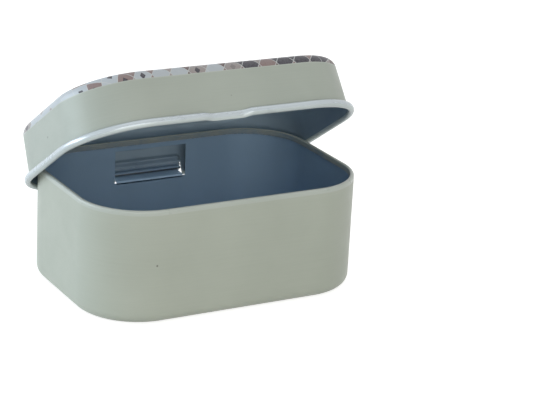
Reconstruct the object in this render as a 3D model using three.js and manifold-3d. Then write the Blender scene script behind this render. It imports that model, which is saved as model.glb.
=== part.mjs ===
// Hinged metal tin: a deep drawn tray and a drawn slip lid of thin tinplate.
// The lid's edge is curled outwards, pressed flat at the front for the thumb, and gives way at the
// back to one wide strap. The strap is rolled round a knuckle that the tray's own back wall makes.
// Millimetres, +Z up, origin at the middle of the tray's underside. The lid stands ajar.
import * as THREE from "three";
import { mergeVertices } from "three/addons/utils/BufferGeometryUtils.js";
import Module from "manifold-3d";

const wasm = await Module();
wasm.setup();

const radians = THREE.MathUtils.degToRad;

// Sheet and tray
const SHEET = 0.3;
const TRAY_LENGTH = 93;
const TRAY_WIDTH = 65.5;
const TRAY_HEIGHT = 36;
const TRAY_CORNER = 19.8;
const TRAY_BOTTOM_RADIUS = 3;
const HEM_THICKNESS = 1.5;
const HEM_DEPTH = 1.8;

// Lid: its wall leans in from the rim to the top
const SWING_CLEARANCE = 0.2;
const LID_OVERLAP = 15.1;
const LID_HEADROOM = 1.6;
const LID_TAPER = 0.8;
const LID_TOP_RADIUS = 3;
const PANEL_BORDER = 8;
const PANEL_RISE = 0.6;

// Curled rim and the thumb notch where the curl is pressed flat
const CURL_HEIGHT = 2.5;
const CURL_STAND_OUT = 1.7;
const CURL_TURN = 292;
const NOTCH_WIDTH = 9;
const NOTCH_SHIFT = -3;
const NOTCH_RUN_OUT = 4;
const NOTCH_STAND_OUT = 0.7;
const NOTCH_DROP = 0.35;

// Hinge: pin, knuckle and strap lie round one axis, behind the tray and a little above the curl
const HINGE_RISE = 1.8;
const HINGE_STAND_OFF = 2.15;
const PIN_DIAMETER = 0.9;
const PIN_PROUD = 0.2;
const HINGE_CLEARANCE = 0.16;
const KNUCKLE_INSET = 0.9;
const KNUCKLE_TURN = 240;
const TONGUE_SLOPE = 2;
const STRAP_WIDTH = 25.8;
const STRAP_NECK = 0.9;
const STRAP_START = 40;
const STRAP_END = 190;
const STRAP_SLIT = 0.2;
const BEND_RADIUS = 0.5;
const BEND_LEG = 0.4;
const CUT_OVERLAP = 0.6;

// Window in the tray's back wall, and the stiffening bead that the lid has opposite it
const TONGUE_SLOT = 0.8;
const WINDOW_TOP_EDGE = 3.7;
const WINDOW_CORNER = 0.6;
const BEAD_INSET = 0.6;
const BEAD_RADIUS = 1.15;
const BEAD_HEIGHT = 4.75;
const BEAD_PROUD = 0.9;

// Pose that the part is stored in
const LID_AJAR = 33.3;

// Facets
const CORNER_STEPS = 9;
const FILLET_STEPS = 5;
const HEM_STEPS = 8;
const CURL_STEPS = 13;
const ROLL_STEP = 15;
const PIN_SIDES = 20;

// Sizes that follow from those above
const rimZ = TRAY_HEIGHT - LID_OVERLAP;
const hingeZ = rimZ + HINGE_RISE;
const lidTop = TRAY_HEIGHT + LID_HEADROOM + SHEET + PANEL_RISE;
const lidHeight = lidTop - rimZ;
const lidShoulder = lidTop - PANEL_RISE - LID_TOP_RADIUS;
const lidLean = Math.atan(LID_TAPER / (lidShoulder - rimZ));
const lidGap = swingGap();
const lidLength = TRAY_LENGTH + 2 * (lidGap + SHEET);
const lidWidth = TRAY_WIDTH + 2 * (lidGap + SHEET);
const lidCorner = TRAY_CORNER + lidGap + SHEET;
const hingeY = lidWidth / 2 + HINGE_STAND_OFF;
const knuckleRadius = PIN_DIAMETER / 2 + HINGE_CLEARANCE + SHEET / 2;
const barrelRadius = knuckleRadius + SHEET + HINGE_CLEARANCE;
const curlInner = CURL_HEIGHT / 2 - SHEET;
const pinLength = STRAP_WIDTH + 2 * PIN_PROUD;
const neckWidth = STRAP_WIDTH - 2 * STRAP_NECK;
const knuckleWidth = STRAP_WIDTH - 2 * KNUCKLE_INSET;
const windowWidth = knuckleWidth + 2 * TONGUE_SLOT;
const beadLength = STRAP_WIDTH - 2 * BEAD_INSET;
const windowTop = TRAY_HEIGHT - WINDOW_TOP_EDGE;
const ledgeZ = hingeZ + barrelRadius * Math.sin(radians(STRAP_START));
const tongueFoot = tongueBendHeight();

// As the lid swings, its leaning front wall passes the tray's front top edge. The gap between the
// two at the rim comes from the radius of that edge about the hinge, which moves out with the gap.
function swingGap() {
  const rise = TRAY_HEIGHT - HEM_THICKNESS / 2 - hingeZ;
  let gap = SWING_CLEARANCE;
  for (let pass = 0; pass < 20; pass++) {
    const reach = TRAY_WIDTH + gap + SHEET + HINGE_STAND_OFF;
    gap = (Math.hypot(reach, rise) + SWING_CLEARANCE) / Math.cos(lidLean) - reach;
  }
  return gap;
}

// Solids: closed geometry to manifold-3d and back
function solidOf(geometry) {
  const bare = geometry.clone();
  bare.deleteAttribute("normal");
  bare.deleteAttribute("uv");
  const merged = mergeVertices(bare, 1e-4);
  const vertProperties = new Float32Array(merged.attributes.position.array);
  const triVerts = new Uint32Array(merged.index.array);
  return new wasm.Manifold(new wasm.Mesh({ numProp: 3, vertProperties, triVerts }));
}

function geometryOf(solid) {
  const mesh = solid.getMesh();
  const geometry = new THREE.BufferGeometry();
  geometry.setAttribute("position", new THREE.BufferAttribute(new Float32Array(mesh.vertProperties), 3));
  geometry.setIndex(new THREE.BufferAttribute(new Uint32Array(mesh.triVerts), 1));
  geometry.computeVertexNormals();
  return geometry;
}

// A rounded rectangle, counter-clockwise from the front left corner: points with outward normals.
// frontStations are extra points along the front run, given by their x.
function roundedOutline(length, width, corner, frontStations) {
  const stations = [];
  const centres = [
    [-1, -1, 180],
    [1, -1, 270],
    [1, 1, 0],
    [-1, 1, 90],
  ];
  centres.forEach(([sideX, sideY, start], index) => {
    const cx = sideX * (length / 2 - corner);
    const cy = sideY * (width / 2 - corner);
    for (let step = 0; step <= CORNER_STEPS; step++) {
      const angle = radians(start + (90 * step) / CORNER_STEPS);
      const normal = new THREE.Vector2(Math.cos(angle), Math.sin(angle));
      stations.push({ x: cx + corner * normal.x, y: cy + corner * normal.y, normal });
    }
    if (index === 0) {
      const normal = new THREE.Vector2(0, -1);
      frontStations.forEach((x) => stations.push({ x, y: -width / 2, normal }));
    }
  });
  return stations;
}

// Carries a section round an outline. sectionAt gives, for a station, the section's points as
// [outward offset, height], from the middle of one face to the middle of the other.
function sweptShell(stations, sectionAt) {
  const positions = [];
  const indices = [];
  const count = stations.length;
  const sections = stations.map(sectionAt);
  const rings = sections[0].length;
  for (let ring = 0; ring < rings; ring++) {
    stations.forEach((station, k) => {
      const [offset, height] = sections[k][ring];
      positions.push(station.x + station.normal.x * offset, station.y + station.normal.y * offset, height);
    });
  }
  for (let ring = 0; ring + 1 < rings; ring++) {
    for (let k = 0; k < count; k++) {
      const next = (k + 1) % count;
      const a = ring * count + k;
      const b = ring * count + next;
      const c = a + count;
      const d = b + count;
      indices.push(a, b, d, a, d, c);
    }
  }
  const capOf = (ring) => {
    const contour = stations.map((_, k) => {
      const at = 3 * (ring * count + k);
      return new THREE.Vector2(positions[at], positions[at + 1]);
    });
    return THREE.ShapeUtils.triangulateShape(contour, []).map((face) => face.map((k) => ring * count + k));
  };
  capOf(0).forEach(([a, b, c]) => indices.push(a, c, b));
  capOf(rings - 1).forEach(([a, b, c]) => indices.push(a, b, c));
  const geometry = new THREE.BufferGeometry();
  geometry.setAttribute("position", new THREE.Float32BufferAttribute(positions, 3));
  geometry.setIndex(indices);
  return geometry;
}

// Points of an arc in a section, from one angle to another
function arcPoints(cx, cy, radius, from, to, steps) {
  return Array.from({ length: steps + 1 }, (_, step) => {
    const angle = radians(from + ((to - from) * step) / steps);
    return [cx + radius * Math.cos(angle), cy + radius * Math.sin(angle)];
  });
}

// A bent strip of sheet: its middle line in the Y-Z plane, thickened and carried along X
function bentStrip(line, width) {
  const points = line.map(([y, z]) => new THREE.Vector2(y, z));
  const sideAt = (k) => {
    const before = points[Math.max(k, 1)].clone().sub(points[Math.max(k, 1) - 1]).normalize();
    const ahead = Math.min(k + 1, points.length - 1);
    const after = points[ahead].clone().sub(points[ahead - 1]).normalize();
    const left = new THREE.Vector2(-before.y - after.y, before.x + after.x);
    return left.multiplyScalar(SHEET / 2 / (1 + before.dot(after)));
  };
  const leftEdge = points.map((point, k) => point.clone().add(sideAt(k)));
  const rightEdge = points.map((point, k) => point.clone().sub(sideAt(k)));
  const shape = new THREE.Shape([...leftEdge, ...rightEdge.reverse()]);
  const geometry = new THREE.ExtrudeGeometry(shape, { depth: width, bevelEnabled: false });
  geometry.translate(0, 0, -width / 2);
  return geometry.applyMatrix4(alongX());
}

// Turns a section drawn in X-Y and extruded along Z into one in Y-Z carried along X
function alongX() {
  return new THREE.Matrix4().makeBasis(
    new THREE.Vector3(0, 1, 0),
    new THREE.Vector3(0, 0, 1),
    new THREE.Vector3(1, 0, 0),
  );
}

// Tray: floor, bottom radius, straight wall, and a top edge hemmed inwards
function traySection() {
  const inner = TRAY_BOTTOM_RADIUS - SHEET;
  const hem = HEM_THICKNESS / 2;
  return [
    ...arcPoints(-TRAY_BOTTOM_RADIUS, TRAY_BOTTOM_RADIUS, TRAY_BOTTOM_RADIUS, 270, 360, FILLET_STEPS),
    ...arcPoints(-hem, TRAY_HEIGHT - hem, hem, 0, 180, HEM_STEPS),
    [-HEM_THICKNESS, TRAY_HEIGHT - HEM_DEPTH],
    [-SHEET, TRAY_HEIGHT - HEM_DEPTH - (HEM_THICKNESS - SHEET)],
    ...arcPoints(-TRAY_BOTTOM_RADIUS, TRAY_BOTTOM_RADIUS, inner, 360, 270, FILLET_STEPS),
  ];
}

// The window that the hinge's tongue is turned out of, as a cutter through the back wall
function hingeWindow() {
  const low = tongueFoot;
  const half = windowWidth / 2;
  const shape = new THREE.Shape();
  shape.moveTo(-half + WINDOW_CORNER, low);
  shape.lineTo(half - WINDOW_CORNER, low);
  shape.absarc(half - WINDOW_CORNER, low + WINDOW_CORNER, WINDOW_CORNER, -Math.PI / 2, 0);
  shape.lineTo(half, windowTop - WINDOW_CORNER);
  shape.absarc(half - WINDOW_CORNER, windowTop - WINDOW_CORNER, WINDOW_CORNER, 0, Math.PI / 2);
  shape.lineTo(-half + WINDOW_CORNER, windowTop);
  shape.absarc(-half + WINDOW_CORNER, windowTop - WINDOW_CORNER, WINDOW_CORNER, Math.PI / 2, Math.PI);
  shape.lineTo(-half, low + WINDOW_CORNER);
  shape.absarc(-half + WINDOW_CORNER, low + WINDOW_CORNER, WINDOW_CORNER, Math.PI, 1.5 * Math.PI);
  const depth = SHEET + 2 * CUT_OVERLAP;
  const geometry = new THREE.ExtrudeGeometry(shape, { depth, bevelEnabled: false, curveSegments: 4 });
  geometry.rotateX(Math.PI / 2);
  return geometry.translate(0, TRAY_WIDTH / 2 + CUT_OVERLAP, 0);
}

// The tongue slopes up from its bend in the wall to the knuckle, which it meets at a tangent.
// This is the height at which the bend leaves the wall.
function tongueBendHeight() {
  const slope = radians(TONGUE_SLOPE);
  const bendEnd = TRAY_WIDTH / 2 - SHEET / 2 + BEND_RADIUS * (1 - Math.sin(slope));
  const tangentY = hingeY + knuckleRadius * Math.sin(slope);
  const tangentZ = hingeZ - knuckleRadius * Math.cos(slope);
  return tangentZ - (tangentY - bendEnd) * Math.tan(slope) - BEND_RADIUS * Math.cos(slope);
}

// The tongue: turned out of the wall at the window's foot and rolled into the knuckle
function knuckleLine() {
  const wallY = TRAY_WIDTH / 2 - SHEET / 2;
  const steps = Math.round(KNUCKLE_TURN / ROLL_STEP);
  const start = TONGUE_SLOPE - 90;
  return [
    [wallY, tongueFoot - BEND_LEG],
    ...arcPoints(wallY + BEND_RADIUS, tongueFoot, BEND_RADIUS, 180, 90 + TONGUE_SLOPE, FILLET_STEPS),
    ...arcPoints(hingeY, hingeZ, knuckleRadius, start, start + KNUCKLE_TURN, steps),
  ];
}

function tray() {
  const outline = roundedOutline(TRAY_LENGTH, TRAY_WIDTH, TRAY_CORNER, []);
  const section = traySection();
  const shell = solidOf(sweptShell(outline, () => section));
  const tongue = solidOf(bentStrip(knuckleLine(), knuckleWidth));
  return geometryOf(shell.subtract(solidOf(hingeWindow())).add(tongue));
}

// Lid: raised panel, sloping border, top radius, leaning wall and the curl.
// press is 0 for the full curl and 1 where it is pressed flat, which also spreads it downwards.
function lidSection(press) {
  const faceAt = (depth) => {
    const radius = LID_TOP_RADIUS - depth;
    return [
      [-LID_TAPER - PANEL_BORDER, lidTop - depth],
      ...arcPoints(-LID_TAPER - LID_TOP_RADIUS, lidShoulder, radius, 84, 0, FILLET_STEPS),
    ];
  };
  const standOut = THREE.MathUtils.lerp(CURL_STAND_OUT, NOTCH_STAND_OUT, press);
  const reach = (standOut - SHEET) / 2;
  const curlZ = rimZ - NOTCH_DROP * press;
  const curlAt = (depth) => {
    return arcPoints(0, 0, 1, 180, 180 + CURL_TURN, CURL_STEPS).map(([across, up]) => [
      reach + (reach + depth) * across,
      curlZ + (curlInner + depth) * up,
    ]);
  };
  return [...faceAt(0), ...curlAt(0), ...curlAt(SHEET).reverse(), ...faceAt(SHEET).reverse()];
}

function pressAt(station) {
  const onFront = station.normal.y === -1;
  if (!onFront) return 0;
  const past = (Math.abs(station.x - NOTCH_SHIFT) - NOTCH_WIDTH / 2) / NOTCH_RUN_OUT;
  return 1 - THREE.MathUtils.smoothstep(past, 0, 1);
}

function notchStations() {
  const reaches = [1, 0.75, 0.5, 0.25, 0].map((share) => NOTCH_WIDTH / 2 + share * NOTCH_RUN_OUT);
  const left = reaches.map((reach) => NOTCH_SHIFT - reach);
  const right = reaches.map((reach) => NOTCH_SHIFT + reach).reverse();
  return [...left, ...right];
}

// The strap: turned out of the lid's back wall and rolled over the knuckle
function strapLine() {
  const wallY = lidWidth / 2 - SHEET / 2;
  const steps = Math.round((STRAP_END - STRAP_START) / ROLL_STEP);
  return [
    [wallY, ledgeZ + BEND_RADIUS + BEND_LEG],
    ...arcPoints(wallY + BEND_RADIUS, ledgeZ + BEND_RADIUS, BEND_RADIUS, 180, 270, FILLET_STEPS),
    ...arcPoints(hingeY, hingeZ, barrelRadius, 180 - STRAP_START, 180 - STRAP_END, steps),
  ];
}

// A box centred on X, between two depths and two heights
function boxBetween(width, [nearY, farY], [lowZ, highZ]) {
  const box = new THREE.BoxGeometry(width, farY - nearY, highZ - lowZ);
  return solidOf(box.translate(0, (nearY + farY) / 2, (lowZ + highZ) / 2));
}

// The strap's blank is T-shaped: a narrower neck at the wall, then the full width of the roll
function strapBody() {
  const rollStart = hingeY - barrelRadius * Math.cos(radians(STRAP_START));
  const heights = [rimZ, lidTop];
  const neck = boxBetween(neckWidth, [0, hingeY], heights);
  const roll = boxBetween(STRAP_WIDTH, [rollStart, lidWidth], heights);
  return solidOf(bentStrip(strapLine(), STRAP_WIDTH)).intersect(neck.add(roll));
}

// What the strap takes the place of: the foot of the wall at its neck, and the curl along its roll
function strapGap() {
  const wall = lidWidth / 2;
  const low = rimZ - CURL_HEIGHT;
  const depths = [wall - SHEET - CUT_OVERLAP, wall + CURL_STAND_OUT + CUT_OVERLAP];
  const rollWidth = STRAP_WIDTH + 2 * STRAP_SLIT;
  const foot = boxBetween(neckWidth + 2 * STRAP_SLIT, depths, [low, ledgeZ + BEND_RADIUS]);
  const curl = boxBetween(rollWidth, [wall + STRAP_SLIT / 2, depths[1]], [low, rimZ + CURL_HEIGHT]);
  return foot.add(curl);
}

// A rod with round ends along X, opposite the tray's window
function beadRod(radius) {
  const rod = new THREE.CapsuleGeometry(radius, beadLength - 2 * BEAD_RADIUS, 4, 16);
  rod.rotateZ(Math.PI / 2);
  const innerFace = lidWidth / 2 - SHEET - (LID_TAPER * BEAD_HEIGHT) / lidHeight;
  return rod.translate(0, innerFace - BEAD_PROUD + BEAD_RADIUS, rimZ + BEAD_HEIGHT);
}

function lid() {
  const outline = roundedOutline(lidLength, lidWidth, lidCorner, notchStations());
  const shell = solidOf(sweptShell(outline, (station) => lidSection(pressAt(station)).reverse()));
  const open = shell.subtract(strapGap());
  const inside = new THREE.BoxGeometry(lidLength, BEAD_RADIUS * 2, lidHeight);
  inside.translate(0, lidWidth / 2 - SHEET / 2 - BEAD_RADIUS, rimZ + lidHeight / 2);
  const bead = solidOf(beadRod(BEAD_RADIUS)).intersect(solidOf(inside));
  const groove = solidOf(beadRod(BEAD_RADIUS - SHEET));
  return geometryOf(open.add(bead).subtract(groove).add(strapBody())).translate(0, -hingeY, -hingeZ);
}

// Pin: a straight wire through the knuckle
function hingePin() {
  const wire = new THREE.CylinderGeometry(PIN_DIAMETER / 2, PIN_DIAMETER / 2, pinLength, PIN_SIDES);
  wire.rotateZ(Math.PI / 2);
  return wire.translate(0, hingeY, hingeZ);
}

// Finishes: satin stone-white enamel outside, bare bright wire
const enamel = new THREE.MeshStandardMaterial({ color: 0xd0d4c8, roughness: 0.4, metalness: 0.1 });
const lidEnamel = new THREE.MeshStandardMaterial({ color: 0xd2d6cb, roughness: 0.4, metalness: 0.1 });
const brightSteel = new THREE.MeshStandardMaterial({ color: 0xc8ccd0, roughness: 0.25, metalness: 1 });

function piece(name, geometry, material) {
  const mesh = new THREE.Mesh(geometry, material);
  mesh.name = name;
  return mesh;
}

// Assembly: the lid hangs in a group that turns about the hinge's axis
const tin = new THREE.Group();
tin.add(piece("base_shell", tray(), enamel));
tin.add(piece("hinge_pin", hingePin(), brightSteel));
const lidOnHinge = new THREE.Group();
lidOnHinge.position.set(0, hingeY, hingeZ);
lidOnHinge.rotation.x = -radians(LID_AJAR);
lidOnHinge.add(piece("lid_shell", lid(), lidEnamel));
tin.add(lidOnHinge);

export default tin;
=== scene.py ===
import bpy
import math
from mathutils import Matrix, Quaternion, Vector


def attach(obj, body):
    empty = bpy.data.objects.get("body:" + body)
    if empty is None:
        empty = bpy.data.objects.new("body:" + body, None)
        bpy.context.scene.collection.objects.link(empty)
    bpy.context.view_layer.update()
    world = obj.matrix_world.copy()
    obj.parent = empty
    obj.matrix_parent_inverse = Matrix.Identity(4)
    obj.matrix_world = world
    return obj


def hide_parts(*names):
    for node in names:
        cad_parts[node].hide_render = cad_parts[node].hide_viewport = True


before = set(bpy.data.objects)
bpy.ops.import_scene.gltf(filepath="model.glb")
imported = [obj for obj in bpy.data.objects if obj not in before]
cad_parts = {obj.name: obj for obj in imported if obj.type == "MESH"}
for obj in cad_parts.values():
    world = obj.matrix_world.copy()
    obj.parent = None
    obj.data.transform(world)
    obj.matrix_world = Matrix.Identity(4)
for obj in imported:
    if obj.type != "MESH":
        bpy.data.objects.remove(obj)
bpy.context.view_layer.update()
print("frame loaded:", sorted(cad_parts))

mm = 0.001  # lengths below are in millimetres, and Blender's unit is the metre

# sheet, outline and place of the hinge, shared by the tray and the lid
tinValues = {
    "sheet": 0.3,
    "trayLength": 93.0,
    "trayWidth": 65.5,
    "trayHeight": 36.0,
    "trayCorner": 19.8,
    "lidOverlap": 15.1,
    "lidHeadroom": 1.6,
    "hingeRise": 1.8,
    "hingeStandOff": 2.15,
    "swingClearance": 0.2,
    "lidTaper": 0.8,
    "lidTopRadius": 3.0,
    "panelBorder": 8.0,
    "panelRise": 0.6,
    "hemThickness": 1.5,
    "ajarDegrees": 33.3,
    "cornerSteps": 30,
    "gapRounds": 20,
}


# sizes that follow, worked out as for the solids
def deriveSizes(v):
    d = dict(v)
    d["rimHeight"] = v["trayHeight"] - v["lidOverlap"]
    d["hingeZ"] = d["rimHeight"] + v["hingeRise"]
    d["lidTop"] = v["trayHeight"] + v["lidHeadroom"] + v["sheet"] + v["panelRise"]
    d["lidShoulder"] = d["lidTop"] - v["panelRise"] - v["lidTopRadius"]
    lean = math.atan(v["lidTaper"] / (d["lidShoulder"] - d["rimHeight"]))
    rise = v["trayHeight"] - v["hemThickness"] / 2 - d["hingeZ"]
    gap = v["swingClearance"]
    for _ in range(v["gapRounds"]):  # the hinge moves out with the gap
        reach = v["trayWidth"] + gap + v["sheet"] + v["hingeStandOff"]
        gap = (math.hypot(reach, rise) + v["swingClearance"]) / math.cos(lean) - reach
    d["lidLength"] = v["trayLength"] + 2 * (gap + v["sheet"])
    d["lidWidth"] = v["trayWidth"] + 2 * (gap + v["sheet"])
    d["lidCorner"] = v["trayCorner"] + gap + v["sheet"]
    d["hingeY"] = d["lidWidth"] / 2 + v["hingeStandOff"]
    return d


tin = deriveSizes(tinValues)

# the rolled hinge: wire, knuckle and strap
hingeValues = {
    "pinDiameter": 0.9,
    "pinProud": 0.2,
    "clearance": 0.16,
    "strapWidth": 25.8,
    "strapNeck": 0.9,
    "bendRadius": 0.5,
    "bendLeg": 0.4,
    "bendSteps": 8,
}
knuckleRadius = hingeValues["pinDiameter"] / 2 + hingeValues["clearance"] + tin["sheet"] / 2
barrelRadius = knuckleRadius + tin["sheet"] + hingeValues["clearance"]


# Geometry helpers

def arcPoints(cx, cy, radius, start, end, steps):
    points = []
    for step in range(steps + 1):
        angle = math.radians(start + (end - start) * step / steps)
        points.append((cx + radius * math.cos(angle), cy + radius * math.sin(angle)))
    return points


def smoothStep(value):
    t = min(1.0, max(0.0, value))
    return t * t * (3 - 2 * t)


def evenStations(half, count):
    return [-half + 2 * half * k / (count - 1) for k in range(count)]


# rounded rectangle, counter-clockwise: (x, y, normal x, normal y, side)
def roundedOutline(length, width, corner, frontStations, backStations):
    stations = []
    corners = [(-1, -1, 180), (1, -1, 270), (1, 1, 0), (-1, 1, 90)]
    for index, (sideX, sideY, start) in enumerate(corners):
        cx = sideX * (length / 2 - corner)
        cy = sideY * (width / 2 - corner)
        for step in range(tin["cornerSteps"] + 1):
            angle = math.radians(start + 90 * step / tin["cornerSteps"])
            nx, ny = math.cos(angle), math.sin(angle)
            stations.append((cx + corner * nx, cy + corner * ny, nx, ny, "corner"))
        if index == 0:
            stations += [(x, -width / 2, 0.0, -1.0, "front") for x in frontStations]
        if index == 2:
            stations += [(x, width / 2, 0.0, 1.0, "back") for x in reversed(backStations)]
    return stations


# makes a mesh object out of points in millimetres, faces and a material number for each face
def meshObject(name, points, faces, faceMaterials, materials):
    mesh = bpy.data.meshes.new(name)
    mesh.from_pydata([Vector(p) * mm for p in points], [], faces)
    for material in materials:
        mesh.materials.append(material)
    mesh.polygons.foreach_set("material_index", faceMaterials)
    mesh.validate()
    mesh.update()
    obj = bpy.data.objects.new(name, mesh)
    bpy.context.scene.collection.objects.link(obj)
    return obj


def smoothObject(obj, sharpDegrees=38):
    obj.data.shade_smooth()
    obj.data.set_sharp_from_angle(angle=math.radians(sharpDegrees))


# carries a section round an outline; section(station) lists (offset, height, band number)
# the band number is the material of the strip between a point and the next one
def sweptShell(name, stations, section, materials, capBands, bend=None):
    sections = [section(station) for station in stations]
    rings = len(sections[0])
    count = len(stations)
    points = []
    for ring in range(rings):
        for k, station in enumerate(stations):
            offset, height = sections[k][ring][:2]
            x = station[0] + station[2] * offset
            y = station[1] + station[3] * offset
            if bend:
                x, y, height = bend(x, y, height, station)
            points.append((x, y, height))
    faces, bands = [], []
    for ring in range(rings - 1):
        band = sections[0][ring][2]
        for k in range(count):
            n = (k + 1) % count
            a, b = ring * count + k, ring * count + n
            faces.append((a, b, b + count, a + count))
            bands.append(band)
    # a fan of faces closes each end
    for ring, band, flip in ((0, capBands[0], True), (rings - 1, capBands[1], False)):
        middle = len(points)
        points.append((0.0, 0.0, points[ring * count][2]))
        for k in range(count):
            a, b = ring * count + k, ring * count + (k + 1) % count
            faces.append((b, a, middle) if flip else (a, b, middle))
            bands.append(band)
    return meshObject(name, points, faces, bands, materials)


# a bent strip of sheet: middle line in Y-Z, thickened, carried along X
def bentStrip(name, line, width, materials, faceBand, edgeBand, backBand, steps=30):
    half = tin["sheet"] / 2
    sides = []
    for k, (y, z) in enumerate(line):
        a = Vector(line[max(k, 1)]) - Vector(line[max(k, 1) - 1])
        n = min(k + 1, len(line) - 1)
        b = Vector(line[n]) - Vector(line[n - 1])
        a.normalize()
        b.normalize()
        left = Vector((-a.y - b.y, a.x + b.x)) * (half / (1 + a.dot(b)))
        sides.append(((y + left.x, z + left.y), (y - left.x, z - left.y)))
    loop = [s[0] for s in sides] + [s[1] for s in reversed(sides)]
    xs = [-width / 2 + width * k / steps for k in range(steps + 1)]
    size, last = len(loop), len(sides) - 1
    points = [(x, y, z) for x in xs for (y, z) in loop]
    faces, bands = [], []
    for k in range(steps):
        for j in range(size):
            n = (j + 1) % size
            a, b = k * size + j, k * size + n
            faces.append((a, b, b + size, a + size))
            if j == size - 1 or j == last:
                bands.append(edgeBand)
            else:
                bands.append(faceBand if j < last else backBand)
    end = steps * size
    for j in range(last):
        a, b, c, d = j, j + 1, size - 2 - j, size - 1 - j
        faces.append((d, c, b, a))
        faces.append((a + end, b + end, c + end, d + end))
        bands += [edgeBand, edgeBand]
    return meshObject(name, points, faces, bands, materials)


def boxObject(name, low, high, material):
    x0, y0, z0 = low
    x1, y1, z1 = high
    points = [(x, y, z) for x in (x0, x1) for y in (y0, y1) for z in (z0, z1)]
    faces = [(0, 1, 3, 2), (4, 6, 7, 5), (0, 4, 5, 1), (2, 3, 7, 6), (0, 2, 6, 4), (1, 5, 7, 3)]
    return meshObject(name, points, faces, [0] * len(faces), [material])


# subtracts a cutter from a piece for good; the cut faces keep the cutter's material
def cutAway(obj, cutter):
    modifier = obj.modifiers.new("cut", "BOOLEAN")
    modifier.operation = "DIFFERENCE"
    modifier.solver = "EXACT"
    modifier.material_mode = "TRANSFER"
    modifier.object = cutter
    bpy.context.view_layer.update()
    graph = bpy.context.evaluated_depsgraph_get()
    mesh = bpy.data.meshes.new_from_object(obj.evaluated_get(graph))
    obj.modifiers.clear()
    old = obj.data
    obj.data = mesh
    mesh.name = old.name
    bpy.data.meshes.remove(old)
    bpy.data.objects.remove(cutter)


# the lid is made shut and then turned about the hinge to the pose it is stored in
def swingAjar(obj):
    axis = Vector((0, tin["hingeY"], tin["hingeZ"])) * mm
    turn = Matrix.Rotation(-math.radians(tin["ajarDegrees"]), 4, "X")
    obj.data.transform(Matrix.Translation(axis) @ turn @ Matrix.Translation(-axis))


# where a point of the lid lies on the flat print, which follows the sheet over the top's round edge
def printPlace(x, y, z):
    coreX = tin["lidLength"] / 2 - tin["lidCorner"]
    coreY = tin["lidWidth"] / 2 - tin["lidCorner"]
    level = (z - tin["lidShoulder"]) / tin["lidTopRadius"]
    angle = math.acos(min(1.0, max(0.0, level)))
    extra = tin["lidTopRadius"] * (angle - math.sin(angle))
    awayX = x - min(coreX, max(-coreX, x))
    awayY = y - min(coreY, max(-coreY, y))
    away = math.hypot(awayX, awayY) or 1.0
    return x + awayX / away * extra, y + awayY / away * extra


# writes the two UV maps: plan is the place on the print, run is the way along the wall and up it
def writeMaps(obj, length, width):
    mesh = obj.data
    planMap = mesh.uv_layers.new(name="plan")
    runMap = mesh.uv_layers.new(name="run")
    for loop in mesh.loops:
        x, y, z = mesh.vertices[loop.vertex_index].co / mm
        planX, planY = printPlace(x, y, z)
        planMap.data[loop.index].uv = (planX / length + 0.5, planY / width + 0.5)
        angle = math.atan2(y / width, x / length)
        runMap.data[loop.index].uv = (angle * length / 2 * mm, z * mm)


# Material helpers

def newMaterial(name):
    material = bpy.data.materials.new(name)
    material.use_nodes = True
    nodes = material.node_tree.nodes
    return material, nodes, material.node_tree.links, nodes["Principled BSDF"]


def addNode(nodes, kind, **values):
    node = nodes.new(kind)
    for key, value in values.items():
        if key in node.inputs:
            node.inputs[key].default_value = value
        else:
            setattr(node, key, value)
    return node


# puts a plain value on a socket, or joins another node's output to it
def feed(links, socket, value):
    if isinstance(value, (int, float, tuple)):
        socket.default_value = value
    else:
        links.new(value, socket)


def noise(nodes, links, coords, scale, detail=3.0, rough=0.5):
    node = addNode(nodes, "ShaderNodeTexNoise", Scale=scale, Detail=detail, Roughness=rough)
    links.new(coords, node.inputs["Vector"])
    return node.outputs["Fac"]


def remap(nodes, links, value, low, high, outLow, outHigh):
    node = addNode(nodes, "ShaderNodeMapRange", clamp=True)
    links.new(value, node.inputs["Value"])
    node.inputs["From Min"].default_value = low
    node.inputs["From Max"].default_value = high
    node.inputs["To Min"].default_value = outLow
    node.inputs["To Max"].default_value = outHigh
    return node.outputs["Result"]


def math2(nodes, links, operation, a, b=0):
    node = addNode(nodes, "ShaderNodeMath", operation=operation)
    feed(links, node.inputs[0], a)
    feed(links, node.inputs[1], b)
    return node.outputs[0]


def mixColour(nodes, links, fac, a, b):
    node = addNode(nodes, "ShaderNodeMix", data_type="RGBA")
    feed(links, node.inputs["Factor"], fac)
    feed(links, node.inputs[6], a)  # sockets 6 and 7 and output 2 are the colour ones
    feed(links, node.inputs[7], b)
    return node.outputs[2]


def bumpFrom(nodes, links, height, distance, strength, normal=None):
    node = addNode(nodes, "ShaderNodeBump", Strength=strength, Distance=distance)
    links.new(height, node.inputs["Height"])
    if normal is not None:
        links.new(normal, node.inputs["Normal"])
    return node.outputs["Normal"]


def separated(nodes, links, vector):
    node = addNode(nodes, "ShaderNodeSeparateXYZ")
    links.new(vector, node.inputs["Vector"])
    return node.outputs


def stretchedCoords(nodes, links, coords, stretch):
    mapping = addNode(nodes, "ShaderNodeMapping", Scale=stretch)
    links.new(coords, mapping.inputs["Vector"])
    return mapping.outputs["Vector"]


def objectCoords(nodes):
    return addNode(nodes, "ShaderNodeTexCoord").outputs["Object"]


def mapCoords(nodes, name):
    return addNode(nodes, "ShaderNodeUVMap", uv_map=name).outputs["UV"]


# spreads the middle of a noise over a range of roughness
def roughnessFrom(nodes, links, shader, grain, limits, spread=(0.3, 0.7)):
    links.new(remap(nodes, links, grain, *spread, *limits), shader.inputs["Roughness"])


def linear(r, g, b):
    def one(c):
        c /= 255
        return c / 12.92 if c <= 0.04045 else ((c + 0.055) / 1.055) ** 2.4
    return (one(r), one(g), one(b), 1.0)


# Materials; a bump is (depth in metres, strength)

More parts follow.
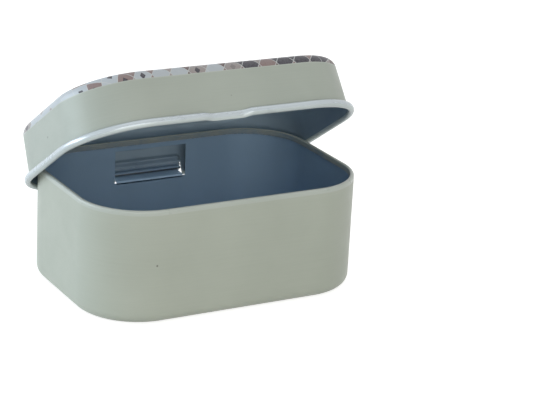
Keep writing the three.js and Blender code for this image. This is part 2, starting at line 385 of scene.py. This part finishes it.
# satin stoving enamel on the outside: tone drift, roller lines, orange peel, a few dark specks
enamelValues = {
    "colour": linear(174, 180, 169),
    "shade": linear(165, 171, 160),
    "roughness": (0.42, 0.54),
    "glossScale": 210,
    "coat": 0.12,
    "coatRoughness": 0.3,
    "driftScale": 38,
    "driftSpread": (0.45, 0.95),
    "lineScale": 2400,
    "lineStretch": (0.02, 1.0, 1.0),
    "lineShare": 0.35,
    "speck": linear(70, 66, 58),
    "speckScale": 105.0,
    "speckSize": 0.03,
    "speckFade": 1.8,
    "speckChance": (0.9, 0.91),
    "speckStrength": 0.85,
    "waveScale": 26,
    "waveBump": (0.00035, 0.25),
    "peelScale": 1500,
    "peelBump": (0.00003, 0.12),
}

# the lid's enamel is a shade greyer and darker than the tray's: painted shade, where the lid takes
# less light
lidShadedEnamelValues = dict(
    enamelValues,
    colour=linear(169, 176, 168),
    shade=linear(160, 167, 159),
)

# the same enamel, paler, greyer and glossier: a painted highlight on the tray's rounded rim and on
# the lid's round top edge
highlightEnamelValues = dict(
    enamelValues,
    colour=linear(182, 188, 182),
    shade=linear(171, 178, 171),
    roughness=(0.26, 0.36),
    speckSize=0.02,
)


def enamelMaterial(name, values):
    material, nodes, links, shader = newMaterial(name)
    coords = objectCoords(nodes)
    # roller lines along the wall, over a slow drift
    rolled = stretchedCoords(nodes, links, mapCoords(nodes, "run"), values["lineStretch"])
    lines = noise(nodes, links, rolled, values["lineScale"], detail=3)
    slow = noise(nodes, links, coords, values["driftScale"], detail=4)
    faint = math2(nodes, links, "MULTIPLY", lines, values["lineShare"])
    both = math2(nodes, links, "ADD", faint, slow)
    drift = remap(nodes, links, both, *values["driftSpread"], 0, 1)
    tone = mixColour(nodes, links, drift, values["colour"], values["shade"])
    # a dark speck in the middle of a few cells
    cells = addNode(nodes, "ShaderNodeTexVoronoi", Scale=values["speckScale"])
    links.new(coords, cells.inputs["Vector"])
    size = values["speckSize"]
    dot = remap(nodes, links, cells.outputs["Distance"], size, size * values["speckFade"], 1, 0)
    chance = addNode(nodes, "ShaderNodeSeparateColor")
    links.new(cells.outputs["Color"], chance.inputs["Color"])
    rare = remap(
        nodes, links, chance.outputs["Red"], *values["speckChance"], 0, values["speckStrength"]
    )
    speck = math2(nodes, links, "MULTIPLY", dot, rare)
    links.new(mixColour(nodes, links, speck, tone, values["speck"]), shader.inputs["Base Color"])
    gloss = noise(nodes, links, coords, values["glossScale"], detail=3)
    roughnessFrom(nodes, links, shader, gloss, values["roughness"])
    # orange peel over long waves
    peel = noise(nodes, links, coords, values["peelScale"], detail=2)
    wave = noise(nodes, links, coords, values["waveScale"], detail=1)
    waves = bumpFrom(nodes, links, wave, *values["waveBump"])
    links.new(bumpFrom(nodes, links, peel, *values["peelBump"], waves), shader.inputs["Normal"])
    shader.inputs["Coat Weight"].default_value = values["coat"]
    shader.inputs["Coat Roughness"].default_value = values["coatRoughness"]
    return material


# slate lacquer on the inside: faint draw lines up the wall, a cloudy sheen, and painted shade that
# darkens it towards the rim
lacquerValues = {
    "colour": linear(150, 177, 202),
    "shade": linear(136, 161, 184),
    "shadeFrom": 0.010,
    "shadeTo": 0.030,
    "shadeShare": 0.8,
    "metallic": 0.3,
    "roughness": (0.52, 0.66),
    "drawScale": 90,
    "drawStretch": (1.0, 0.02, 1.0),
    "drawBump": (0.00005, 0.2),
    "cloudScale": 55,
    "unevenSpread": (0.7, 1.3),
    "unevenShare": 0.35,
}

# the lid's coat is a little greyer and paler, a painted light for its lit inner walls, and darker
# towards its rim, which is at the bottom when it is shut: painted shade
lidLightAndShadeLacquerValues = dict(
    lacquerValues,
    colour=linear(158, 177, 191),
    shade=linear(124, 143, 160),
    shadeFrom=0.032,
    shadeTo=0.023,
)


# the tongue's top is painted paler: painted light, against the shade under the strap
tongueLitLacquerValues = dict(
    lacquerValues,
    colour=linear(178, 206, 231),
    shade=linear(170, 198, 224),
)


def lacquerMaterial(name, values):
    material, nodes, links, shader = newMaterial(name)
    coords = objectCoords(nodes)
    run = mapCoords(nodes, "run")
    lines = stretchedCoords(nodes, links, run, values["drawStretch"])
    draw = noise(nodes, links, lines, values["drawScale"], detail=4)
    cloud = noise(nodes, links, coords, values["cloudScale"], detail=4)
    height = separated(nodes, links, run)["Y"]
    shadeSpan = values["shadeFrom"], values["shadeTo"]
    # painted shade: darker with height over the given span
    rimShade = remap(nodes, links, height, *shadeSpan, 0, values["shadeShare"])
    both = math2(nodes, links, "ADD", draw, cloud)
    uneven = remap(nodes, links, both, *values["unevenSpread"], 0, values["unevenShare"])
    fac = math2(nodes, links, "ADD", rimShade, uneven)
    tone = mixColour(nodes, links, fac, values["colour"], values["shade"])
    links.new(tone, shader.inputs["Base Color"])
    roughnessFrom(nodes, links, shader, cloud, values["roughness"])
    links.new(bumpFrom(nodes, links, draw, *values["drawBump"]), shader.inputs["Normal"])
    shader.inputs["Metallic"].default_value = values["metallic"]
    return material


# the inside of the hem is painted darker, between the enamel and the slate lacquer: painted shade
# under the lid
hemShadeValues = {
    "colour": linear(136, 142, 137),
    "shade": linear(118, 132, 141),
    "roughness": (0.4, 0.6),
    "mottleScale": 160,
    "mottleSpread": (0.35, 0.65),
    "mottleBump": (0.00003, 0.2),
}


def hemShadeMaterial(name, values):
    material, nodes, links, shader = newMaterial(name)
    coords = objectCoords(nodes)
    run = noise(nodes, links, coords, values["mottleScale"], detail=5, rough=0.6)
    fac = remap(nodes, links, run, *values["mottleSpread"], 0, 1)
    tone = mixColour(nodes, links, fac, values["colour"], values["shade"])
    links.new(tone, shader.inputs["Base Color"])
    roughnessFrom(nodes, links, shader, run, values["roughness"])
    links.new(bumpFrom(nodes, links, run, *values["mottleBump"]), shader.inputs["Normal"])
    return material


# bright tin on the curl: scuffs that run along the roll, dulled patches; on the top of the curl it
# is the lit copy, painted lighter than the underside
brightTinValues = {
    "colour": linear(190, 199, 205),
    "dull": linear(154, 164, 174),
    "metallic": 0.35,
    "roughness": (0.2, 0.32),
    "scuffScale": 190,
    "scuffStretch": (0.12, 1.0, 1.0),
    "scuffBump": (0.00004, 0.1),
    "patchScale": 130,
    "wearSpread": (0.3, 0.44),
}

# the underside of the curl is a darker, duller copy of the bright tin: painted shade
curlShadeValues = dict(
    brightTinValues,
    colour=linear(184, 193, 194),
    dull=linear(150, 160, 163),
    metallic=0.2,
    roughness=(0.3, 0.42),
)


def brightTinMaterial(name, values):
    material, nodes, links, shader = newMaterial(name)
    along = stretchedCoords(nodes, links, mapCoords(nodes, "run"), values["scuffStretch"])
    coords = objectCoords(nodes)
    scuff = noise(nodes, links, along, values["scuffScale"], detail=5, rough=0.65)
    patch = noise(nodes, links, coords, values["patchScale"], detail=4, rough=0.6)
    worn = math2(nodes, links, "MULTIPLY", scuff, patch)
    wear = remap(nodes, links, worn, *values["wearSpread"], 0, 1)
    tone = mixColour(nodes, links, wear, values["colour"], values["dull"])
    links.new(tone, shader.inputs["Base Color"])
    roughnessFrom(nodes, links, shader, scuff, values["roughness"])
    links.new(bumpFrom(nodes, links, scuff, *values["scuffBump"]), shader.inputs["Normal"])
    shader.inputs["Metallic"].default_value = values["metallic"]
    return material


# raw sheared edge: bare steel with fine lines
steelValues = {
    "colour": linear(206, 210, 214),
    "dark": linear(150, 154, 158),
    "metallic": 1.0,
    "roughness": (0.2, 0.36),
    "lineScale": 2600,
    "lineStretch": (0.15, 1.0, 1.0),
    "lineBump": (0.00002, 0.3),
}

# the drawn wire is duller than a fresh cut
wireValues = dict(
    steelValues,
    colour=linear(112, 119, 126),
    dark=linear(80, 87, 94),
    roughness=(0.34, 0.48),
)


def steelMaterial(name, values):
    material, nodes, links, shader = newMaterial(name)
    coords = stretchedCoords(nodes, links, objectCoords(nodes), values["lineStretch"])
    lines = noise(nodes, links, coords, values["lineScale"], detail=4)
    tone = mixColour(nodes, links, lines, values["colour"], values["dark"])
    links.new(tone, shader.inputs["Base Color"])
    roughnessFrom(nodes, links, shader, lines, values["roughness"])
    links.new(bumpFrom(nodes, links, lines, *values["lineBump"]), shader.inputs["Normal"])
    shader.inputs["Metallic"].default_value = values["metallic"]
    return material


# printed top: a patchwork of diamonds, pale at the left and dark at the right, under satin varnish
printValues = {
    "pale": linear(176, 183, 190),
    "taupe": linear(148, 140, 139),
    "rose": linear(130, 110, 108),
    "brown": linear(94, 74, 72),
    "plum": linear(48, 43, 54),
    "line": linear(190, 193, 194),
    "stops": ((0.0, "pale"), (0.3, "taupe"), (0.48, "rose"), (0.64, "brown"), (0.78, "plum")),
    "diamondsAcross": 16.0,
    "diamondsDeep": 8.0,
    "driftAcross": (-0.26, 0.58),
    "chanceShare": 0.75,
    "lineWidth": 0.025,
    "coreSize": 0.15,
    "coreChance": (0.42, 0.43),
    "softEdge": 0.008,
    "grainScale": 120,
    "grainSpread": (0.35, 0.75),
    "grainShare": 0.16,
    "grainBump": (0.00002, 0.15),
    "roughness": (0.36, 0.48),
    "coat": 0.2,
    "coatRoughness": 0.3,
}


def printMaterial(name, values):
    material, nodes, links, shader = newMaterial(name)
    plan = mapCoords(nodes, "plan")
    parts = separated(nodes, links, plan)
    # diamonds: a grid turned by adding and taking away the two shares
    u = math2(nodes, links, "MULTIPLY", parts["X"], values["diamondsAcross"])
    v = math2(nodes, links, "MULTIPLY", parts["Y"], values["diamondsDeep"])
    a = math2(nodes, links, "ADD", u, v)
    b = math2(nodes, links, "SUBTRACT", u, v)
    cellA = math2(nodes, links, "FLOOR", a)
    cellB = math2(nodes, links, "FLOOR", b)
    cell = addNode(nodes, "ShaderNodeCombineXYZ")
    links.new(cellA, cell.inputs["X"])
    links.new(cellB, cell.inputs["Y"])
    chance = addNode(nodes, "ShaderNodeTexWhiteNoise", noise_dimensions="2D")
    links.new(cell.outputs["Vector"], chance.inputs["Vector"])
    # darker towards the right, by the middle of the diamond
    middle = math2(nodes, links, "ADD", cellA, cellB)
    across = math2(nodes, links, "MULTIPLY", middle, 0.5 / values["diamondsAcross"])
    drift = remap(nodes, links, across, 0.0, 1.0, *values["driftAcross"])
    luck = math2(nodes, links, "MULTIPLY", chance.outputs["Value"], values["chanceShare"])
    pick = math2(nodes, links, "ADD", luck, drift)
    ramp = addNode(nodes, "ShaderNodeValToRGB")
    ramp.color_ramp.interpolation = "CONSTANT"
    elements = ramp.color_ramp.elements
    elements.remove(elements[1])
    for position, key in values["stops"]:
        stop = elements.new(position) if position else elements[0]
        stop.color = values[key]
    links.new(pick, ramp.inputs["Fac"])
    # pale outline of each diamond, and a small dark diamond in the middle of some
    fracA = math2(nodes, links, "SUBTRACT", a, cellA)
    fracB = math2(nodes, links, "SUBTRACT", b, cellB)
    awayA = math2(nodes, links, "ABSOLUTE", math2(nodes, links, "SUBTRACT", fracA, 0.5))
    awayB = math2(nodes, links, "ABSOLUTE", math2(nodes, links, "SUBTRACT", fracB, 0.5))
    edge = math2(nodes, links, "MAXIMUM", awayA, awayB)
    rim, core, soft = 0.5 - values["lineWidth"], values["coreSize"], values["softEdge"]
    outline = remap(nodes, links, edge, rim, rim + soft, 0, 1)
    inCore = remap(nodes, links, edge, core, core + soft, 1, 0)
    some = remap(nodes, links, chance.outputs["Value"], *values["coreChance"], 0, 1)
    centred = math2(nodes, links, "MULTIPLY", inCore, some)
    tone = mixColour(nodes, links, centred, ramp.outputs["Color"], values["plum"])
    tone = mixColour(nodes, links, outline, tone, values["line"])
    # uneven ink
    grain = noise(nodes, links, plan, values["grainScale"], detail=4, rough=0.6)
    ink = remap(nodes, links, grain, *values["grainSpread"], 0.0, values["grainShare"])
    links.new(mixColour(nodes, links, ink, tone, values["pale"]), shader.inputs["Base Color"])
    roughnessFrom(nodes, links, shader, grain, values["roughness"])
    links.new(bumpFrom(nodes, links, grain, *values["grainBump"]), shader.inputs["Normal"])
    shader.inputs["Coat Weight"].default_value = values["coat"]
    shader.inputs["Coat Roughness"].default_value = values["coatRoughness"]
    return material


enamel = enamelMaterial("trayEnamel", enamelValues)
lidShadedEnamel = enamelMaterial("lidShadedEnamel", lidShadedEnamelValues)
lacquer = lacquerMaterial("slateLacquer", lacquerValues)
lidLightAndShadeLacquer = lacquerMaterial("lidLightAndShadeLacquer", lidLightAndShadeLacquerValues)
tongueLitLacquer = lacquerMaterial("tongueLitLacquer", tongueLitLacquerValues)
brightTin = brightTinMaterial("brightTin", brightTinValues)
curlShade = brightTinMaterial("curlUndersideShade", curlShadeValues)
highlightEnamel = enamelMaterial("paintedHighlightEnamel", highlightEnamelValues)
steel = steelMaterial("bareSteel", steelValues)
wire = steelMaterial("dullWire", wireValues)
hemShade = hemShadeMaterial("hemShade", hemShadeValues)
printed = printMaterial("printedTop", printValues)
print("materials made: 12")


# Tray

trayValues = {
    "bottomRadius": 3.0,
    "filletSteps": 10,
    "wallSteps": 12,
    "sideReach": 24,
    "sideStations": 13,
    "hemDepth": 1.8,
    "hemEdge": 0.12,
    "hemLip": 0.1,
    "seamGap": 0.05,
    "seamDip": 0.02,
    "seamFillet": 0.2,
    "seamRun": 0.4,
    "rimBand": 1.5,
    "rimPaintTurn": 0.75,
    "windowTopEdge": 3.7,
    "windowCut": 2,
    "tongueSlot": 0.8,
    "tongueSlope": 2.0,
    "tongueInset": 0.9,
    "knuckleInset": 0.2,
    "knuckleTurn": 240.0,
    "knuckleSteps": 40,
}


def tongueBendHeight(v):
    slope = math.radians(v["tongueSlope"])
    bend = hingeValues["bendRadius"]
    bendEnd = tin["trayWidth"] / 2 - tin["sheet"] / 2 + bend * (1 - math.sin(slope))
    tangentY = tin["hingeY"] + knuckleRadius * math.sin(slope)
    tangentZ = tin["hingeZ"] - knuckleRadius * math.cos(slope)
    return tangentZ - (tangentY - bendEnd) * math.tan(slope) - bend * math.cos(slope)


# bands: 0 enamel, 1 lacquer, 2 raw edge, 3 inside of the hem with painted shade, 4 painted
# highlight on the rim
def traySection(v):
    s, r, h, hem = tin["sheet"], v["bottomRadius"], tin["trayHeight"], tin["hemThickness"] / 2
    steps, rows, edge = v["filletSteps"], v["wallSteps"], h - v["hemDepth"]
    points = [(o, z, 0) for o, z in arcPoints(-r, r, r, 270, 360, steps)]
    points += [(0.0, r + (h - v["rimBand"] - r) * k / rows, 0) for k in range(1, rows)]
    # the top of the wall and the outer roll of the hem take the painted highlight
    points += [(0.0, h - v["rimBand"], 4)]
    # the roll of the hem, its cut edge and the seam under it
    roll = arcPoints(-hem, h - hem, hem, 0, 180, 2 * steps)
    paintEnd = v["rimPaintTurn"] * 2 * steps
    points += [(o, z, 4 if k < paintEnd else 3) for k, (o, z) in enumerate(roll)]
    points += [(-2 * hem, edge + v["hemEdge"], 2)]
    points += [(-2 * hem + v["hemLip"], edge, 2)]
    points += [(-s - v["seamGap"], edge - v["seamDip"], 1)]
    points += [(-s, edge - v["seamFillet"], 1)]
    points += [(-s, r + (edge - v["seamRun"] - r) * (1 - k / rows), 1) for k in range(rows)]
    points += [(o, z, 1) for o, z in arcPoints(-r, r, r - s, 360, 270, steps)]
    return points


def buildTray(v):
    section = traySection(v)
    sides = evenStations(v["sideReach"], v["sideStations"])
    stations = roundedOutline(
        tin["trayLength"], tin["trayWidth"], tin["trayCorner"], sides, sides
    )
    bands = [enamel, lacquer, steel, hemShade, highlightEnamel]
    tray = sweptShell("trayShell", stations, lambda s: section, bands, (0, 1))
    # the window that the tongue comes out of
    foot = tongueBendHeight(v)
    strapHalf, backY = hingeValues["strapWidth"] / 2, tin["trayWidth"] / 2
    half = strapHalf - v["tongueInset"] + v["tongueSlot"]
    top = tin["trayHeight"] - v["windowTopEdge"]
    low, high = (-half, backY - v["windowCut"], foot), (half, backY + v["windowCut"], top)
    cutAway(tray, boxObject("windowCutter", low, high, steel))
    writeMaps(tray, tin["trayLength"], tin["trayWidth"])
    smoothObject(tray)
    # the tongue is narrow where it leaves the wall, and its roll fills the strap's
    wallY = backY - tin["sheet"] / 2
    slope, bend = v["tongueSlope"], hingeValues["bendRadius"]
    start, end = slope - 90, slope - 90 + v["knuckleTurn"]
    roll = arcPoints(
        tin["hingeY"], tin["hingeZ"], knuckleRadius, start, end, v["knuckleSteps"]
    )
    line = [(wallY, foot - hingeValues["bendLeg"])]
    line += arcPoints(wallY + bend, foot, bend, 180, 90 + slope, hingeValues["bendSteps"])
    line += [roll[0]]
    width, rollWidth = 2 * (strapHalf - v["tongueInset"]), 2 * (strapHalf - v["knuckleInset"])
    # its top takes the paler lacquer: painted light
    tongue = bentStrip("hingeTongue", line, width, [tongueLitLacquer, lacquer], 0, 1, 1)
    knuckle = bentStrip("hingeKnuckle", roll, rollWidth, [lacquer], 0, 0, 0)
    for strip in (tongue, knuckle):
        writeMaps(strip, tin["trayLength"], tin["trayWidth"])
        smoothObject(strip)
    for piece in (tray, tongue, knuckle):
        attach(piece, "base")
    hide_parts("base_shell")


buildTray(trayValues)
print("tray built")


# Pin: a drawn wire with slightly rounded ends

pinValues = {
    "sides": 40,
    "endRound": 0.12,
    "endShoulder": 0.3,
}


def buildPin(v):
    radius = hingeValues["pinDiameter"] / 2
    half = hingeValues["strapWidth"] / 2 + hingeValues["pinProud"]
    e, n = v["endRound"], v["sides"]
    shoulder = e * v["endShoulder"]
    profile = [(-half, radius - e), (-half + shoulder, radius - shoulder), (-half + e, radius)]
    profile += [(half - e, radius), (half - shoulder, radius - shoulder), (half, radius - e)]
    points, faces = [], []
    for x, r in profile:
        for y, z in arcPoints(tin["hingeY"], tin["hingeZ"], r, 0, 360, n)[:n]:
            points.append((x, y, z))
    for ring in range(len(profile) - 1):
        for k in range(n):
            a, b = ring * n + k, ring * n + (k + 1) % n
            faces.append((a, b, b + n, a + n))
    faces.append(tuple(reversed(range(n))))
    faces.append(tuple(range((len(profile) - 1) * n, len(profile) * n)))
    pin = meshObject("hingeWire", points, faces, [0] * len(faces), [wire])
    smoothObject(pin)
    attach(pin, "base")
    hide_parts("hinge_pin")


buildPin(pinValues)
print("pin built")


# Lid

lidValues = {
    "panelFlat": 5.0,
    "panelBend": 1.6,
    "panelDip": 0.1664,
    "panelSteps": 8,
    "filletStart": 84,
    "filletSteps": 12,
    "edgeSteps": 1,
    "wallSteps": 60,
    "curlHeight": 2.5,
    "curlStandOut": 1.7,
    "curlTurn": 292.0,
    "curlSteps": 34,
    "curlShadeLine": 346.0,
    "notchWidth": 9.0,
    "notchShift": -3.0,
    "notchRunOut": 4.0,
    "notchSteps": 12,
    "notchStandOut": 0.7,
    "notchDrop": 0.35,
    "beadInset": 0.6,
    "beadRadius": 1.15,
    "beadFade": 1.15,
    "beadSpan": 2.2,
    "beadHeight": 4.75,
    "beadProud": 0.9,
    "strapStart": 40.0,
    "strapEnd": 190.0,
    "strapSteps": 36,
    "strapSlit": 0.2,
    "cutInside": 1.2,
    "cutOutside": 4,
    "frontLeft": (-24.0, -18.0, -14.0),
    "frontRight": (10.0, 17.0, 24.0),
    "backSides": (-24.0, -20.0, -16.5, 16.5, 20.0, 24.0),
    "backReach": 13.6,
    "backStations": 69,
}


# bands: 0 print, 1 enamel, 2 bright tin, 3 lacquer, 4 raw edge, 5 painted shade on the underside
# of the curl, 6 painted highlight on the round edge
def lidSection(station, v):
    press = 0.0
    if station[4] == "front":
        past = (abs(station[0] - v["notchShift"]) - v["notchWidth"] / 2) / v["notchRunOut"]
        press = 1 - smoothStep(past)
    s, r, taper, top = tin["sheet"], tin["lidTopRadius"], tin["lidTaper"], tin["lidTop"]
    inner = v["curlHeight"] / 2 - s
    standOut = v["curlStandOut"] + (v["notchStandOut"] - v["curlStandOut"]) * press
    reach = (standOut - s) / 2
    rim, shoulder = tin["rimHeight"], tin["lidShoulder"]
    curlZ = rim - v["notchDrop"] * press

    # the flat, the bend of the panel, the round edge and the wall, seen at a depth in the sheet
    def face(depth, topBand, edgeBand, wallBand):
        edge, bend = -taper - tin["panelBorder"], v["panelBend"]
        points = [(edge - v["panelFlat"], top - depth, topBand)]
        for k in range(v["panelSteps"] + 1):
            t = k / v["panelSteps"]
            height = top - depth - v["panelDip"] * t * t
            points.append((edge - bend + 2 * bend * t, height, topBand))
        arc = arcPoints(
            -taper - r, shoulder, r - depth, v["filletStart"], 0, v["filletSteps"]
        )
        points += [(o, z, topBand) for o, z in arc[:-1]]
        for k in range(v["wallSteps"]):
            t = k / v["wallSteps"]
            band = edgeBand if k < v["edgeSteps"] else wallBand
            points.append((arc[-1][0] + taper * t, shoulder + (curlZ - shoulder) * t, band))
        return points

    def curl(depth, band):
        points = []
        for across, up in arcPoints(0, 0, 1, 180, 180 + v["curlTurn"], v["curlSteps"]):
            points.append((reach + (reach + depth) * across, curlZ + (inner + depth) * up, band))
        return points

    # the first step of the wall under the round edge takes the painted highlight
    outer = face(0.0, 0, 6, 1) + curl(0.0, 1)
    outer[-1] = outer[-1][:2] + (4,)
    turned = []
    for k, (offset, height, _) in enumerate(reversed(curl(s, 2))):
        angle = 180 + v["curlTurn"] * (1 - k / v["curlSteps"])
        # past this angle the curl takes the painted shade of its underside
        turned.append((offset, height, 2 if angle > v["curlShadeLine"] else 5))
    turned[-1] = turned[-1][:2] + (3,)
    return outer + turned + list(reversed(face(s, 3, 3, 3)))


# turns a section round so that its faces look outwards; each band keeps its strip
def reversedBands(points):
    turned = []
    for k in range(len(points) - 1, -1, -1):
        band = points[k - 1][2] if k else points[0][2]
        turned.append((points[k][0], points[k][1], band))
    return turned


# the bead is pressed into the back wall: both faces move inwards together
def beadPress(v):
    half = hingeValues["strapWidth"] / 2 - v["beadInset"]
    centre = tin["rimHeight"] + v["beadHeight"]

    def press(x, y, z, station):
        if station[4] != "back" or z < centre - v["beadSpan"] or z > centre + v["beadSpan"]:
            return x, y, z
        along = max(0.0, abs(x) - (half - v["beadRadius"])) / v["beadRadius"]
        away = math.hypot(along, (z - centre) / v["beadRadius"])
        return x, y - v["beadProud"] * (1 - smoothStep(away / v["beadFade"])), z

    return press


def buildLid(v):
    # stations close together at the notch and along the hinge
    notch = []
    for k in range(v["notchSteps"] + 1):
        notch.append(v["notchWidth"] / 2 + (1 - k / v["notchSteps"]) * v["notchRunOut"])
    front = list(v["frontLeft"])
    front += [v["notchShift"] - reach for reach in notch]
    front += [v["notchShift"] + reach for reach in reversed(notch)]
    front += v["frontRight"]
    back = sorted(list(v["backSides"]) + evenStations(v["backReach"], v["backStations"]))
    stations = roundedOutline(tin["lidLength"], tin["lidWidth"], tin["lidCorner"], front, back)
    materials = [printed, lidShadedEnamel, brightTin, lidLightAndShadeLacquer, steel, curlShade, highlightEnamel]

    def section(station):
        return reversedBands(lidSection(station, v))

    lid = sweptShell("lidShell", stations, section, materials, (3, 0), beadPress(v))
    # the foot of the wall goes at the strap's neck, and the curl along its roll
    bend, slit, rim = hingeValues["bendRadius"], v["strapSlit"], tin["rimHeight"]
    ledge = tin["hingeZ"] + barrelRadius * math.sin(math.radians(v["strapStart"]))
    backY = tin["lidWidth"] / 2
    strapHalf = hingeValues["strapWidth"] / 2
    neck = strapHalf - hingeValues["strapNeck"]
    low, far = rim - v["curlHeight"], backY + v["cutOutside"]
    for half, near, high in (
        (neck + slit, backY - v["cutInside"], ledge + bend),
        (strapHalf + slit, backY + slit / 2, rim + v["curlHeight"]),
    ):
        cutAway(lid, boxObject("strapCutter", (-half, near, low), (half, far, high), steel))
    writeMaps(lid, tin["lidLength"], tin["lidWidth"])
    # the strap: a neck bent out of the wall, then the roll
    wallY = backY - tin["sheet"] / 2
    start, end = 180 - v["strapStart"], 180 - v["strapEnd"]
    roll = arcPoints(tin["hingeY"], tin["hingeZ"], barrelRadius, start, end, v["strapSteps"])
    line = [(wallY, ledge + bend + hingeValues["bendLeg"])]
    line += arcPoints(wallY + bend, ledge + bend, bend, 180, 270, hingeValues["bendSteps"])
    line += [(roll[0][0] + tin["sheet"] / 3, ledge)]  # the neck ends inside the roll's sheet
    strapNeck = bentStrip("hingeStrapNeck", line, 2 * neck, materials, 1, 4, 3)
    strapRoll = bentStrip("hingeStrap", roll, 2 * strapHalf, materials, 1, 4, 3)
    for strip in (strapNeck, strapRoll):
        writeMaps(strip, tin["lidLength"], tin["lidWidth"])
    for piece in (lid, strapNeck, strapRoll):
        swingAjar(piece)
        smoothObject(piece)
        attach(piece, "lid")
    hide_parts("lid_shell")


buildLid(lidValues)
print("lid built")


# Floor, light and camera

stageValues = {
    "floorSize": 6.0,
    "floorDrop": 0.0002,
    "floorColour": (0.62, 0.62, 0.61, 1.0),
    "floorRoughness": 0.9,
    "floorGlow": 0.74,
    "white": (1.0, 1.0, 1.0, 1.0),
    "leftSky": (0.74, 0.82, 0.90, 1.0),
    "rightSky": (0.60, 0.60, 0.57, 1.0),
    "frontSky": (0.24, 0.235, 0.20, 1.0),
    "topSky": (0.45, 0.46, 0.46, 1.0),
    "sideSpan": (-0.7, 0.7),
    "frontSpan": (-0.9, -0.1),
    "topSpan": (0.3, 1.0),
}

# place and size in metres, power in watts
lampValues = {
    "keyLight": {
        "place": (-0.9, 0.54, 0.2),
        "size": (0.9, 0.5),
        "power": 6.4,
        "colour": (0.80, 0.92, 1.0),
    },
    "topLight": {
        "place": (0.1, 0.1, 0.95),
        "size": (0.9, 0.9),
        "power": 0.8,
        "colour": (1.0, 1.0, 1.0),
    },
    "frontLight": {
        "place": (-0.2, -0.9, 0.34),
        "size": (1.1, 0.6),
        "power": 4.4,
        "colour": (1.0, 0.985, 0.93),
    },
}
lampAim = Vector((0.0, 0.0, 0.03))


# 1 for what the camera sees, straight on or in a reflection or through glass
def seenRays(nodes, links):
    path = addNode(nodes, "ShaderNodeLightPath").outputs
    seen = math2(nodes, links, "MAXIMUM", path["Is Camera Ray"], path["Is Glossy Ray"])
    return math2(nodes, links, "MAXIMUM", seen, path["Is Transmission Ray"])


def buildFloor(v):
    half = v["floorSize"] / 2 / mm
    points = [(-half, -half, 0), (half, -half, 0), (half, half, 0), (-half, half, 0)]
    material, nodes, links, shader = newMaterial("floorPaper")
    floor = meshObject("floor", points, [(0, 1, 2, 3)], [0], [material])
    shader.inputs["Base Color"].default_value = v["floorColour"]
    shader.inputs["Roughness"].default_value = v["floorRoughness"]
    # the camera and reflections see it a little brighter, so that it is white beyond the shadow
    glow = math2(nodes, links, "MULTIPLY", seenRays(nodes, links), v["floorGlow"])
    links.new(glow, shader.inputs["Emission Strength"])
    shader.inputs["Emission Color"].default_value = v["white"]
    floor.location.z = -v["floorDrop"]


def buildLamps(lamps):
    for name, lamp in lamps.items():
        data = bpy.data.lights.new(name, "AREA")
        data.shape = "RECTANGLE"
        data.size, data.size_y = lamp["size"]
        data.energy = lamp["power"]
        data.color = lamp["colour"]
        light = bpy.data.objects.new(name, data)
        light.location = lamp["place"]
        aim = lampAim - Vector(lamp["place"])
        light.rotation_euler = aim.to_track_quat("-Z", "Y").to_euler()
        bpy.context.scene.collection.objects.link(light)


# cool at the left, warmer at the right, dim in front and overhead, and white where it is seen
def buildSky(v):
    world = bpy.data.worlds.new("studio")
    world.use_nodes = True
    nodes, links = world.node_tree.nodes, world.node_tree.links
    soft = nodes["Background"]
    direction = addNode(nodes, "ShaderNodeTexCoord").outputs["Generated"]
    parts = separated(nodes, links, direction)
    side = remap(nodes, links, parts["X"], *v["sideSpan"], 0, 1)
    sides = mixColour(nodes, links, side, v["leftSky"], v["rightSky"])
    ahead = remap(nodes, links, parts["Y"], *v["frontSpan"], 1, 0)
    around = mixColour(nodes, links, ahead, sides, v["frontSky"])
    above = remap(nodes, links, parts["Z"], *v["topSpan"], 0, 1)
    links.new(mixColour(nodes, links, above, around, v["topSky"]), soft.inputs["Color"])
    white = addNode(nodes, "ShaderNodeBackground", Color=v["white"])
    mix = addNode(nodes, "ShaderNodeMixShader")
    links.new(seenRays(nodes, links), mix.inputs["Fac"])
    links.new(soft.outputs["Background"], mix.inputs[1])
    links.new(white.outputs["Background"], mix.inputs[2])
    links.new(mix.outputs["Shader"], nodes["World Output"].inputs["Surface"])
    bpy.context.scene.world = world


cameraValues = {
    "place": (-276.905, -521.861, 233.064),
    "target": (28.285, -1.394, 19.586),
    "rollRadians": 0.0552,
    "focalPixels": 1987.34,
    "imageWidth": 550,
    "sensorWidth": 36.0,
    "clip": (0.01, 20.0),
}


def buildCamera(v):
    data = bpy.data.cameras.new("camera")
    data.sensor_fit = "HORIZONTAL"
    data.sensor_width = v["sensorWidth"]
    data.lens = v["sensorWidth"] * v["focalPixels"] / v["imageWidth"]
    data.clip_start, data.clip_end = v["clip"]
    camera = bpy.data.objects.new("camera", data)
    place, target = Vector(v["place"]) * mm, Vector(v["target"]) * mm
    look = (target - place).to_track_quat("-Z", "Y")
    camera.location = place
    camera.rotation_mode = "QUATERNION"
    camera.rotation_quaternion = look @ Quaternion((0, 0, 1), v["rollRadians"])
    bpy.context.scene.collection.objects.link(camera)
    bpy.context.scene.camera = camera


buildFloor(stageValues)
buildLamps(lampValues)
buildSky(stageValues)
buildCamera(cameraValues)
bpy.context.scene.view_settings.view_transform = "Standard"
print("stage built")
